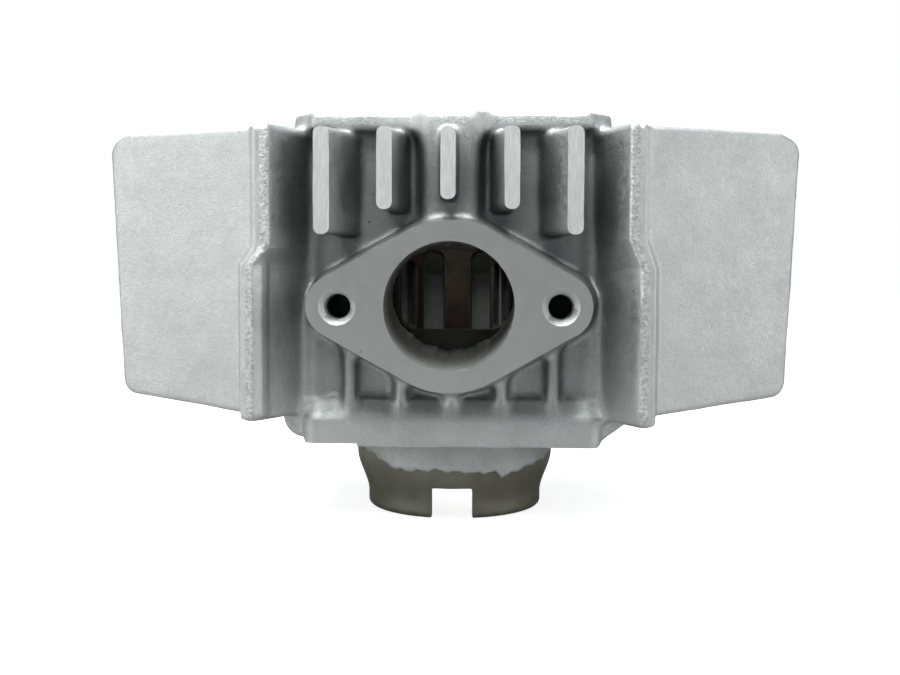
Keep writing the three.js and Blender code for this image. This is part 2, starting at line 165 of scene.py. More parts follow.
class Metal:
    """Signed distances on a box of voxels, negative inside the metal."""

    FAR = 9.0  # the distance everywhere before anything is joined
    BAND = 3  # voxels of true distance kept on each side of the surface

    def __init__(self, low, high, step):
        self.step = step
        self.low = np.array(low, dtype=float)
        counts = np.ceil((np.array(high) - self.low) / step).astype(int) + 1
        self.values = np.full(counts, self.FAR, dtype=np.float32)

    def window(self, low, high, margin):
        """The voxels round a box: their slices, and their places along each axis."""
        spare = margin + self.BAND * self.step
        first = np.floor((np.array(low) - spare - self.low) / self.step).astype(int)
        last = np.ceil((np.array(high) + spare - self.low) / self.step).astype(int) + 1
        first = np.maximum(first, 0)
        last = np.minimum(last, self.values.shape)
        area = tuple(slice(a, b) for a, b in zip(first, last))
        axes = [self.low[i] + self.step * np.arange(first[i], last[i]) for i in range(3)]
        x = axes[0].reshape(-1, 1, 1).astype(np.float32)
        y = axes[1].reshape(1, -1, 1).astype(np.float32)
        z = axes[2].reshape(1, 1, -1).astype(np.float32)
        return area, x, y, z

    def join(self, shape, low, high, blend=0.0):
        area, x, y, z = self.window(low, high, blend)
        self.values[area] = soft_min(self.values[area], shape(x, y, z), blend)

    def cut(self, shape, low, high, blend=0.0):
        area, x, y, z = self.window(low, high, blend)
        self.values[area] = -soft_min(-self.values[area], shape(x, y, z), blend)

    def roughen(self, period, depth, seed):
        """Adds random waves of the given period to the surface."""
        size = self.values.shape
        rng = np.random.default_rng(seed)
        counts = [int(n * self.step / period) + 3 for n in size]
        waves = rng.uniform(-1, 1, counts).astype(np.float32)
        for axis, n in enumerate(size):
            place = np.arange(n) * self.step / period
            cell = place.astype(int)
            t = place - cell
            t = (t * t * (3 - 2 * t)).astype(np.float32)
            t = t.reshape([-1 if i == axis else 1 for i in range(3)])
            before = np.take(waves, cell, axis)
            waves = before + (np.take(waves, cell + 1, axis) - before) * t
        self.values += depth * waves

    def to_mesh(self, name):
        """The surface at distance 0, in metres, its faces turned outwards."""
        band = self.BAND * self.step
        grid = openvdb.FloatGrid(band)
        grid.copyFromArray(np.clip(self.values, -band, band))
        grid.transform = openvdb.createLinearTransform(voxelSize=self.step)
        points, quads = grid.convertToQuads(isovalue=0.0)
        places = ((points + self.low) * MM).astype(np.float32)
        a, b, c, d = (places[quads[:, i]] for i in range(4))
        volume = np.einsum("ij,ij->i", a, np.cross(b, c) + np.cross(c, d)).sum()
        if volume < 0:
            quads = quads[:, ::-1]
        mesh = bpy.data.meshes.new(name)
        mesh.vertices.add(len(places))
        mesh.vertices.foreach_set("co", places.ravel())
        mesh.loops.add(quads.size)
        mesh.loops.foreach_set("vertex_index", np.ascontiguousarray(quads).astype(np.int32).ravel())
        mesh.polygons.add(len(quads))
        mesh.polygons.foreach_set("loop_start", np.arange(0, quads.size, 4, dtype=np.int32))
        mesh.update(calc_edges=True)
        return mesh


# ---- The casting's shapes ----


def block(low, high, corner=0.0, edge=0.0):
    """An upright block, its plan corners and its top and bottom edges rounded."""

    def shape(x, y, z):
        plan = overlap(slab(x, low[0], high[0]), slab(y, low[1], high[1]), corner)
        return overlap(plan, slab(z, low[2], high[2]), edge)

    return shape


def join_block(metal, low, high, corner=0.0, edge=0.0, blend=0.0):
    metal.join(block(low, high, corner, edge), low, high, blend)


def diamond(x, z):
    """The two-bolt flange outline: tip circles joined to the big one by their tangents."""
    along = np.abs(x)
    across = np.abs(z - PORT_Z)
    slope = (BIG_RADIUS - TIP_RADIUS) / HOLE_OFFSET
    level = math.sqrt(1 - slope * slope)
    place = level * along - slope * across
    at_middle = np.sqrt(along**2 + across**2) - BIG_RADIUS
    at_tip = np.sqrt((along - HOLE_OFFSET) ** 2 + across**2) - TIP_RADIUS
    between = level * across + slope * along - BIG_RADIUS
    return np.where(place < 0, at_middle, np.where(place > level * HOLE_OFFSET, at_tip, between))


ROOT_SPARE = 6.0  # the part of a fin's outline, at its root, that is cut off square


def fin(start, end, outline, root, tip, corner, edge):
    """A plate on edge along the line between two plan points. The outline is in distance from
    the start and height, and the thickness tapers from root to tip."""
    start = np.array(start, dtype=float)
    run = np.array(end, dtype=float) - start
    direction = run / np.linalg.norm(run)
    near = outline[0][0]
    far = max(point[0] for point in outline)

    def shape(x, y, z):
        dx = x - start[0]
        dy = y - start[1]
        along = dx * direction[0] + dy * direction[1]
        across = np.abs(dx * direction[1] - dy * direction[0])
        half = (root + (tip - root) * np.clip((along - near) / (far - near), 0, 1)) / 2
        side = np.maximum(polygon(along, z, outline, corner), ROOT_SPARE + near - along)
        return overlap(side, across - half, edge)

    return shape


def mirrored(shape, side_x, side_y):
    return lambda x, y, z: shape(x * side_x, y * side_y, z)


def mirrored_box(low, high, side_x, side_y):
    flips = np.array([side_x, side_y, 1])
    corners = np.array([np.array(low) * flips, np.array(high) * flips])
    return corners.min(axis=0), corners.max(axis=0)


def join_both(metal, shape, low, high, blend, side_y=1):
    """Joins a shape made on the right, and its mirror image on the left."""
    for side_x in (-1, 1):
        box = mirrored_box(low, high, side_x, side_y)
        metal.join(mirrored(shape, side_x, side_y), *box, blend)


def add_body(metal):
    """Base plate, core and head deck."""
    base_middle = 0.2
    base_half = 35.9
    machining_spare = 0.1  # stands below the plate until the underside is faced

    def base(x, y, z):
        across = np.abs(x - base_middle) - base_half
        plan = overlap(across, slab(y, BASE_LOW[1], BASE_HIGH[1]), 3.5)
        plate = overlap(plan, z - BASE_TOP - 0.6, 2.8)
        underside = overlap(across, BASE_BOTTOM - machining_spare - z, 1.9)
        return np.maximum(plate, underside)

    metal.join(base, [-36, BASE_LOW[1], BASE_BOTTOM - 1], [36.3, BASE_HIGH[1], BASE_TOP + 1])
    core_low = [-CORE_HALF, CORE_FRONT, BASE_TOP - SUNK]
    core_high = [CORE_HALF, CORE_REAR, DECK_LOW[2] + 2]
    join_block(metal, core_low, core_high, corner=6, blend=5)

    half = DECK_HIGH[0]
    front = DECK_LOW[1]
    rear = DECK_HIGH[1]
    face_half = 32.5  # of the deck's front face, between the two corner cuts
    cut_depth = 6.0
    facet = np.array([cut_depth, half - face_half])
    facet /= np.linalg.norm(facet)

    def deck(x, y, z):
        plan = overlap(np.abs(x) - half, slab(y, front, rear), 1.5)
        forward = np.maximum(-y + front, y - rear)
        corner_cut = (np.abs(x) - face_half) * facet[0] + forward * facet[1]
        return overlap(overlap(plan, corner_cut, 0.6), slab(z, DECK_LOW[2], DECK_TOP + 0.5), 1.4)

    metal.join(deck, [-half, front, DECK_LOW[2]], [half, rear, DECK_TOP], blend=4.5)

    # The slope between the core's front and the base plate.
    foot_half = 34
    foot_profile = [[20, 22], [33.8, 22], [33.8, 26], [31, 31.5], [20, 31.5]]

    def foot(x, y, z):
        slope = polygon(-y, z, foot_profile, 1.5)
        return overlap(slope, np.abs(x) - foot_half, 2)

    metal.join(foot, [-foot_half, -34.5, 22], [foot_half, -20, 31.5], blend=2)


def add_exhaust_boss(metal):
    """The centre column and the drafted boss that carries the exhaust flange."""
    column_low = [BOSS_LOW[0], BOSS_LOW[1], BOSS_LOW[2] - SUNK]
    column_high = [BOSS_HIGH[0], -28, DECK_TOP + 0.5]
    join_block(metal, column_low, column_high, corner=3, edge=2.2, blend=5)

    front = FACE_Y - 1.2
    rear = CORE_FRONT + SUNK
    draft_y = [FACE_Y, FACE_Y + 8, CORE_FRONT - 3]
    draft = [0, 0.3, 2.2]

    def boss(x, y, z):
        grow = np.interp(y, draft_y, draft).astype(np.float32)
        return np.maximum(diamond(x, z) - grow, slab(y, front, rear))

    metal.join(boss, [-35, front, 33], [35, rear, 76], blend=1.6)


def fan_outline(bottom, top, start, end):
    """A square fin's outline, in distance along the fin and height."""
    return [[start, bottom], [end, bottom], [end, top], [start, top]]


def add_front_fins(metal):
    """The fan of five fins over the port, and the ribs under it."""
    length = 18
    facing_spare = 4  # ground off when the fins' ends are faced
    rib_top = 60
    corner_rib = 33.3
    corner_rib_top = 52
    for low, high in UPPER_FINS:
        tip_x = (low[0] + high[0]) / 2
        lean = tip_x / (FAN_APEX - (low[1] + high[1]) / 2)
        tip = np.array([lean * (FAN_APEX - FIN_FRONT), FIN_FRONT])
        reach = math.hypot(tip[0], tip[1] - FAN_APEX)
        outline = fan_outline(low[2], high[2], reach - length - ROOT_SPARE, reach + facing_spare)
        shape = fin([0, FAN_APEX], tip, outline, root=6.2, tip=3.0, corner=2.1, edge=1.5)
        box_low = [low[0] - 3, FIN_FRONT - 2, low[2]]
        box_high = [high[0] + 3, -30, high[2]]
        metal.join(shape, box_low, box_high, blend=1.6)

    for low, high in LOWER_RIBS:
        add_rib(metal, (low[0] + high[0]) / 2, low[1] - 0.5, rib_top)
    for side in (-1, 1):
        add_rib(metal, side * corner_rib, CORE_FRONT - 1.1, corner_rib_top)


def add_rib(metal, centre, front, top):
    """An upright rib on the core's front that gets thicker towards its root."""
    tip_half = 1.1
    root_half = 2.2
    bottom = BASE_TOP - SUNK

    def rib(x, y, z):
        half = np.interp(y, [front, CORE_FRONT], [tip_half, root_half]).astype(np.float32)
        plan = overlap(np.abs(x - centre) - half, front - y, tip_half)
        return overlap(plan, slab(z, bottom, top), 1.6)

    metal.join(rib, [centre - 2, front, bottom], [centre + 2, CORE_FRONT + 3, top], blend=2.2)


def add_rear_fins(metal):
    """The fan of seven fins at the back."""
    length = 20
    tips = REAR_TIPS - SURFACE_WAVES
    for low, high in REAR_FINS:
        middle = (low[0] + high[0]) / 2
        lean = middle / (FAN_APEX + (low[1] + high[1]) / 2)
        tip = np.array([lean * (FAN_APEX + tips), tips])
        reach = math.hypot(tip[0], tip[1] + FAN_APEX)
        outline = fan_outline(low[2], high[2], reach - length - ROOT_SPARE, reach)
        shape = fin([0, -FAN_APEX], tip, outline, root=4.6, tip=2.4, corner=4, edge=1.1)
        metal.join(shape, [low[0] - 2, 30, low[2]], [high[0] + 2, tips, high[2]], blend=1.8)


# The web's middle line runs in plan from its root to the ridge, which moves outwards below
# the step to clear the exhaust nuts.
WEB_ROOT = np.array([35.3, 26.0])
WEB_LENGTH = 26
WEB_HALF = 1.8
# Each web's distance out at its ridge above and below the step, the step's top and bottom
# height, and the web's bottom. The rear webs have no step.
LEFT_RIDGE = (43.0, 46.5, 67.3, 63.2, 27.2)
RIGHT_RIDGE = (42.4, 45.1, 69.2, 62.4, 26.2)
REAR_RIDGE = (43.3, 43.3, 67.5, 62.8, 26.6)
WING_SET_BACK = 2.0  # the wings join the webs this far behind their ridges


def web_places(x, forward, z, ridge):
    """Along and across a corner web: distance past its ridge, and to the outer side."""
    upper, lower, step_top, step_bottom = ridge[:4]
    t = np.clip((step_top - z) / (step_top - step_bottom), 0, 1)
    ridge_x = upper + (lower - upper) * t
    run_x = ridge_x - WEB_ROOT[0]
    run_y = -RIDGE_Y - WEB_ROOT[1]
    length = np.sqrt(run_x**2 + run_y**2)
    dx = x - ridge_x
    dy = forward + RIDGE_Y
    along = (dx * run_x + dy * run_y) / length
    across = (dx * run_y - dy * run_x) / length
    return along, across


def corner_web(ridge):
    """A web between the core and a ridge. A front ridge has a bead of trimmed flash along it,
    with a groove beside the bead."""
    bottom = ridge[-1]
    bead_radius = 0.85
    groove_radius = 0.35

    def shape(x, forward, z):
        along, across = web_places(x, forward, z, ridge)
        plate = overlap(np.abs(across) - WEB_HALF, slab(along, -WEB_LENGTH, -0.1), 0.5)
        plate = overlap(plate, slab(z, bottom, FIN_TOP + 0.5), 1.3)
        if ridge is REAR_RIDGE:
            return plate
        bead = np.sqrt((along + 0.5) ** 2 + (across - WEB_HALF + 0.45) ** 2) - bead_radius
        bead = overlap(bead, slab(z, bottom + 0.4, FIN_TOP), 0.6)
        groove = np.sqrt((along - 0.1) ** 2 + (across - WEB_HALF + 1.4) ** 2) - groove_radius
        return np.minimum(np.maximum(plate, -groove), bead)

    return shape


def add_pocket_roofs(metal):
    """The thin plate over each front pocket, between the deck's corner and the web."""
    corners = [[35, 20], [44.5, 41], [42, 42], [35, 31]]
    thickness = 1.6

    def roof(x, forward, z):
        plan = polygon(x, forward, corners, 0.3)
        return overlap(plan, slab(z, FIN_TOP - thickness, FIN_TOP + 0.7), 0.8)

    join_both(metal, roof, [31, 22, 93], [45, 42, 95.4], blend=1.2, side_y=-1)


def add_side_fins(metal):
    """Corner webs, the two front wings and the fins behind them."""
    low = [WEB_ROOT[0] - 3, 14, 26]
    high = [50, -RIDGE_Y + 1, FIN_TOP + 1]
    corners = [(-1, -1, LEFT_RIDGE), (1, -1, RIGHT_RIDGE), (-1, 1, REAR_RIDGE), (1, 1, REAR_RIDGE)]
    for side_x, side_y, ridge in corners:
        box = mirrored_box(low, high, side_x, side_y)
        metal.join(mirrored(corner_web(ridge), side_x, side_y), *box, blend=3.6)

    # How far forward or back each fin's root and tip are. The first and last fins are wings.
    wing_root = -RIDGE_Y - WING_SET_BACK
    roots = (wing_root, 18, 0, 18, wing_root)
    tips = (29.5, 14.7, 0, 14.7, 29.5)
    bottom_rise = 4.2  # from a fin's root to its lower tip corner
    bottom_set_in = 3.1
    for i, (root_y, tip_y) in enumerate(zip(roots, tips), start=1):
        low, high = node_box(f"casting_side_fin_right_{i}")
        root_x = REAR_RIDGE[0] - 0.5 if i in (1, 5) else CORE_HALF - 2
        tip_x = high[0]
        length = math.hypot(tip_x - root_x, tip_y - root_y)
        bottom = low[2] - 0.9
        outline = [
            [-ROOT_SPARE, bottom - 0.5],
            [length - bottom_set_in, bottom + bottom_rise],
            [length, FIN_TOP - 2.6],
            [length - 5, FIN_TOP - 0.3],
            [-ROOT_SPARE, FIN_TOP],
        ]
        start = [root_x, root_y]
        shape = fin(start, [tip_x, tip_y], outline, root=3.4, tip=2.4, corner=4, edge=1.0)
        box_low = [root_x - 2, min(root_y, tip_y) - 2, bottom - 0.5]
        box_high = [tip_x, max(root_y, tip_y) + 2, FIN_TOP]
        side_y = -1 if i <= 3 else 1
        join_both(metal, shape, box_low, box_high, blend=1.4, side_y=side_y)


def add_lugs(metal):
    """The left lug has a rounded lower corner, the right one a slanting underside."""
    root = CORE_HALF - 2
    bottom = LEFT_LUG_LOW[2]
    left_reach = -LEFT_LUG_LOW[0]
    right_reach = RIGHT_LUG_HIGH[0]
    half_length = RIGHT_LUG_HIGH[1]
    corners = [
        [root, bottom],
        [root + 3.5, bottom],
        [right_reach - 0.6, BASE_TOP - 1.5],
        [right_reach - 0.6, BASE_TOP],
        [root, BASE_TOP],
    ]

    def left(x, y, z):
        front = overlap(slab(-x, root, left_reach), slab(z, bottom, BASE_TOP + SUNK), 5.5)
        return overlap(front, np.abs(y) - half_length, 1.0)

    def right(x, y, z):
        return overlap(polygon(x, z, corners, 0.6), np.abs(y) - half_length, 1.0)

    metal.join(left, LEFT_LUG_LOW - 2, LEFT_LUG_HIGH + 4, blend=1.5)
    metal.join(right, RIGHT_LUG_LOW - 2, RIGHT_LUG_HIGH + 2, blend=1.2)


def collar_edge(degrees):
    """Height of the flash's ragged lower edge round the spigot; 0 degrees is the front."""
    angles = [-64, -59, -47, -34, -24, -8, 12, 24, 28, 33, 46, 60, 70, 76]
    edge_z = [20, 16.3, 14.9, 12.6, 12.2, 12.9, 12.1, 12.2, 10.7, 11.3, 12.7, 13.7, 15.2, 20]
    return np.interp(degrees, angles, edge_z)


def add_collar(metal):
    """The aluminium flash left on the spigot under the base, round its front."""
    outer = COLLAR_RADIUS

    def flash(x, y, z):
        degrees = np.degrees(np.arctan2(x, -y))
        wander = 0.25 * np.sin(degrees * 0.6) + 0.12 * np.sin(degrees * 1.3 + 1)
        edge_z = (collar_edge(degrees) + wander).astype(np.float32)
        radius = np.sqrt(x * x + y * y)
        return np.maximum(overlap(radius - outer + 0.15, edge_z - z, 0.5), z - BASE_BOTTOM - 1)

    metal.join(flash, [-outer, -outer, 10], [outer, 10, BASE_BOTTOM], blend=0.8)


def cut_inside(metal):
    """Liner bore, gas passages and the exhaust port."""
    gap = 0.05  # between the liner and the casting

    def bore_hole(x, y, z):
        radius = np.sqrt(x * x + y * y)
        return radius - np.where(z < SHOULDER_TOP, SHOULDER_RADIUS + gap, LINER_RADIUS + gap)

    metal.cut(bore_hole, [-27, -27, 8], [27, 27, DECK_TOP + 1])

    half = 12.0  # of a transfer or boost passage's width
    transfer_profile = [[10, 18], [31.5, 18], [31.5, 60], [23, 66], [10, 66]]
    wrap_radii = (20, 27.6)
    wrap_heights = (30, 65.5)
    wrap_turn = (32, 68)  # degrees from the rear
    millimetres_per_degree = 0.43
    for side in (-1, 1):
        def transfer(x, y, z):
            profile = polygon(side * x, z, transfer_profile, 1.5)
            return overlap(profile, np.abs(y) - half, 2.5)

        low, high = mirrored_box([10, -half, 18], [31.5, half, 66], side, 1)
        metal.cut(transfer, low, high, blend=0.8)

        def wrap(x, y, z):
            azimuth = np.degrees(np.arctan2(side * x, y))
            radius = np.sqrt(x * x + y * y)
            turn = slab(azimuth, *wrap_turn) * millimetres_per_degree
            ring = overlap(slab(radius, *wrap_radii), turn, 1.2)
            return overlap(ring, slab(z, *wrap_heights), 2)

        low, high = mirrored_box([8, 8, 30], [27, 25, 66], side, 1)
        metal.cut(wrap, low, high, blend=0.8)

    boost_profile = [[10, 18], [31, 18], [31, 61.5], [24, 70], [10, 70]]

    def boost(x, y, z):
        profile = polygon(y, z, boost_profile, 1.5)
        return overlap(profile, np.abs(x) - half, 2.5)

    metal.cut(boost, [-half, 10, 18], [half, 31, 71], blend=0.8)

    port_flare = 0.6  # how much wider the port's half width is at the liner
    port_end = -12

    def port(x, y, z):
        t = np.clip((y - FACE_Y) / (-LINER_RADIUS - FACE_Y), 0, 1)
        half_width = PORT_RADIUS + port_flare * t
        floor = PORT_Z - PORT_RADIUS + PORT_RISE * t
        half_height = (PORT_Z + PORT_RADIUS - floor) / 2
        ragged = 0.3 * np.sin(x * 1.1) + 0.16 * np.sin(x * 3.1 + 1)
        across = x / half_width
        up = (z - floor - half_height - ragged * t * t) / half_height
        return np.maximum((np.sqrt(across**2 + up**2) - 1) * half_height, y - port_end)

    metal.cut(port, [-17, FACE_Y - 2, 38], [17, port_end, 70])


def carve_casting(step):
    """The casting as it leaves the mould. Its surface is rough except in the gas ways."""
    metal = Metal([-85, -53, 8], [85, 52, 101.5], step)
    add_body(metal)
    add_exhaust_boss(metal)
    add_front_fins(metal)
    add_rear_fins(metal)
    add_side_fins(metal)
    add_pocket_roofs(metal)
    add_lugs(metal)
    add_collar(metal)
    metal.roughen(period=6.5, depth=0.10, seed=3)
    metal.roughen(period=2.2, depth=0.035, seed=4)
    cut_inside(metal)
    return metal.to_mesh("barrel_casting")


# ---- Machining ----


def mesh_object(name, mesh):
    piece = bpy.data.objects.new(name, mesh)
    bpy.context.scene.collection.objects.link(piece)
    return piece


def add_prism(bm, outline, axis, near, far):
    """An outline of plan or front-view points run between two places on an axis."""
    rings = []
    for place in (near, far):
        ring = []
        for a, b in outline:
            co = (a, b, place) if axis == "z" else (a, place, b)
            ring.append(bm.verts.new(Vector(co) * MM))
        rings.append(ring)
    near_ring, far_ring = rings
    bm.faces.new(near_ring)
    bm.faces.new(far_ring)
    count = len(outline)
    for i in range(count):
        j = (i + 1) % count
        bm.faces.new([near_ring[i], near_ring[j], far_ring[j], far_ring[i]])


def circle(x, y, radius, count=64):
    turns = [2 * math.pi * i / count for i in range(count)]
    return [(x + radius * math.cos(t), y + radius * math.sin(t)) for t in turns]


def add_tapped_hole(bm, x, z):
    """A cutter for an M6 hole: chamfer, helical thread and a drill point, along Y."""
    sides = 40
    steps = 96
    pitch = 1.0
    minor = 2.7
    depth = 0.45
    thread_start = FACE_Y + 2.2
    end = FACE_Y + 13.5
    # Place along the hole, radius and thread height, from the mouth inwards.
    stations = [(FACE_Y - 1, 5.2, 0), (FACE_Y, 4.2, 0), (FACE_Y + 1.3, 2.95, 0)]
    for i in range(steps + 1):
        stations.append((thread_start + (end - thread_start) * i / steps, minor, depth))
    rings = []
    for y, radius, thread in stations:
        ring = []
        for i in range(sides):
            turn = i / sides
            phase = (y / pitch + turn) % 1
            r = radius + thread * (1 - abs(2 * phase - 1))
            angle = 2 * math.pi * turn
            co = (x + r * math.cos(angle), y, z + r * math.sin(angle))
            ring.append(bm.verts.new(Vector(co) * MM))
        rings.append(ring)
    bm.faces.new(rings[0])
    for ring, following in zip(rings, rings[1:]):
        for i in range(sides):
            j = (i + 1) % sides
            bm.faces.new([ring[i], ring[j], following[j], following[i]])
    point = bm.verts.new(Vector((x, end + 1.6, z)) * MM)
    for i in range(sides):
        bm.faces.new([rings[-1][i], rings[-1][(i + 1) % sides], point])


def cutter(name, build):
    """An object made of the closed shapes that `build` adds."""
    bm = bmesh.new()
    build(bm)
    bmesh.ops.recalc_face_normals(bm, faces=bm.faces)
    mesh = bpy.data.meshes.new(name)
    bm.to_mesh(mesh)
    bm.free()
    return mesh_object(name, mesh)


def facing_cuts(bm):
    """The head face, the exhaust face, the fins' ends and the base's lower left corner."""
    wide = 60
    flange_top = 74.4
    square = [(-wide, -wide), (wide, -wide), (wide, wide), (-wide, wide)]
    add_prism(bm, square, "z", DECK_TOP, DECK_TOP + 6)
    front = [(-wide, 20), (wide, 20), (wide, flange_top), (-wide, flange_top)]
    add_prism(bm, front, "y", FACE_Y - 4, FACE_Y)
    fins = [(-34, 97), (-34, 69), (-21, 69), (-17, 74.6), (17, 74.6), (21, 69), (34, 69), (34, 97)]
    add_prism(bm, fins, "y", FACE_Y + 0.5, FIN_FRONT)
    inner_x = -22.4
    inner_y = -18
    corner_rise = 0.7
    left_corner = [(-wide, -wide), (inner_x, -wide), (inner_x, inner_y), (-wide, inner_y)]
    add_prism(bm, left_corner, "z", BASE_BOTTOM - 4, BASE_BOTTOM + corner_rise)


def base_facing_cut(bm):
    """A ring round the spigot that faces the base's underside."""
    low = BASE_BOTTOM - 8
    high = BASE_BOTTOM
    outer = circle(0, 0, 60)
    inner = circle(0, 0, COLLAR_RADIUS + 0.9)
    rings = []
    for outline in (outer, inner):
        for z in (low, high):
            rings.append([bm.verts.new(Vector((a, b, z)) * MM) for a, b in outline])
    outer_low, outer_high, inner_low, inner_high = rings
    count = len(outer)
    for i in range(count):
        j = (i + 1) % count
        bm.faces.new([outer_low[i], outer_low[j], outer_high[j], outer_high[i]])
        bm.faces.new([inner_low[i], inner_high[i], inner_high[j], inner_low[j]])
        bm.faces.new([outer_low[i], inner_low[i], inner_low[j], outer_low[j]])
        bm.faces.new([outer_high[i], outer_high[j], inner_high[j], inner_high[i]])


def drilled_holes(bm):
    """Four stud holes along the bore, and a tapped hole each side of the port."""
    for side_x in (-1, 1):
        for side_y in (-1, 1):
            hole = circle(side_x * STUD_OFFSET, side_y * STUD_OFFSET, STUD_RADIUS)
            add_prism(bm, hole, "z", BASE_BOTTOM - 2, DECK_TOP + 2)
        add_tapped_hole(bm, side_x * HOLE_OFFSET, PORT_Z)


def machined(mesh, budget, cutters):
    """The mesh reduced to about `budget` triangles, then cut. Returns the finished mesh."""
    piece = mesh_object("work", mesh)
    triangles = 2 * len(mesh.polygons)
    if triangles > budget:
        reduce = piece.modifiers.new("reduce", "DECIMATE")
        reduce.ratio = budget / triangles
    tools = [cutter(f"cutter_{i}", build) for i, build in enumerate(cutters)]
    for tool in tools:
        trim = piece.modifiers.new("trim", "BOOLEAN")
        trim.operation = "DIFFERENCE"
        trim.solver = "MANIFOLD"
        trim.object = tool
    graph = bpy.context.evaluated_depsgraph_get()
    finished = bpy.data.meshes.new_from_object(piece.evaluated_get(graph))
    for spent in [piece, *tools]:
        bpy.data.objects.remove(spent)
    return finished


# ---- The liner ----


def carve_liner(step):
    """The liner: its skirt flares to the shoulder, and its windows lead to the passages."""
    metal = Metal([-28, -28, -1.5], [28, 28, DECK_TOP + 1.5], step)
    top = DECK_TOP - 0.05
    flare_start = 3.4
    flare_end = 14.6
    bore_chamfer = 0.9

    def sleeve(x, y, z):
        radius = np.sqrt(x * x + y * y)
        flare = (SHOULDER_RADIUS - LINER_RADIUS) * smooth_step(z, flare_start, flare_end)
        outer = radius - LINER_RADIUS - flare
        skirt = overlap(overlap(outer, -z, 1.4), z - SHOULDER_TOP, 0.3)
        wall = overlap(radius - LINER_RADIUS, slab(z, 10, top), 0.2)
        solid = np.minimum(skirt, wall)
        ends = np.maximum(np.minimum(z, top - z), 0)
        chamfer = np.maximum(bore_chamfer - ends, 0)
        return overlap(solid, BORE_RADIUS + chamfer - radius, 0.15)

    metal.join(sleeve, [-27, -27, 0], [27, 27, DECK_TOP])

    notch_half = 5.05
    notch_height = 7.8

    def notch(x, y, z):
        return overlap(np.abs(x) - notch_half, z - notch_height, 0.4)

    metal.cut(notch, [-6, -28, -1], [6, 28, 8], blend=0.5)

    window_middle = 0.3
    window_half = 13.5
    arch_curve = 0.005

    def exhaust(x, y, z):
        arch = WINDOW_TOP - arch_curve * x * x
        window = overlap(np.abs(x - window_middle) - window_half, slab(z, WINDOW_BOTTOM, arch), 4.5)
        return np.maximum(window, y + 5)

    metal.cut(exhaust, [-14, -28, WINDOW_BOTTOM], [14, -5, WINDOW_TOP], blend=0.6)

    middle_radius = (BORE_RADIUS + LINER_RADIUS) / 2

    def sector(first, last, bottom, top_z, corner):
        def window(x, y, z):
            azimuth = np.degrees(np.arctan2(x, y))
            arc = slab(azimuth, first, last) * math.radians(middle_radius)
            radius = np.sqrt(x * x + y * y)
            return np.maximum(overlap(arc, slab(z, bottom, top_z), corner), 10 - radius)

        return window

    # The first and last degree from the rear, the bottom, the top and the corner radius of the
    # two boost windows, the two rear transfer windows and the two side transfer windows.
    windows = [
        (-27.5, -10, 43.6, 67.6, 2.5),
        (11, 27.5, 43.6, 67.6, 2.5),
        (-53, -35, 45.5, 64.8, 2.0),
        (31, 48.5, 45.5, 64.8, 2.0),
        (-115, -64, 46, 60.5, 2.5),
        (64, 115, 46, 60.5, 2.5),
    ]
    for first, last, bottom, top_z, corner in windows:
        shape = sector(first, last, bottom, top_z, corner)
        metal.cut(shape, [-24, -12, bottom], [24, 24, top_z], blend=0.6)
    return metal.to_mesh("iron_liner")


# ---- Materials ----


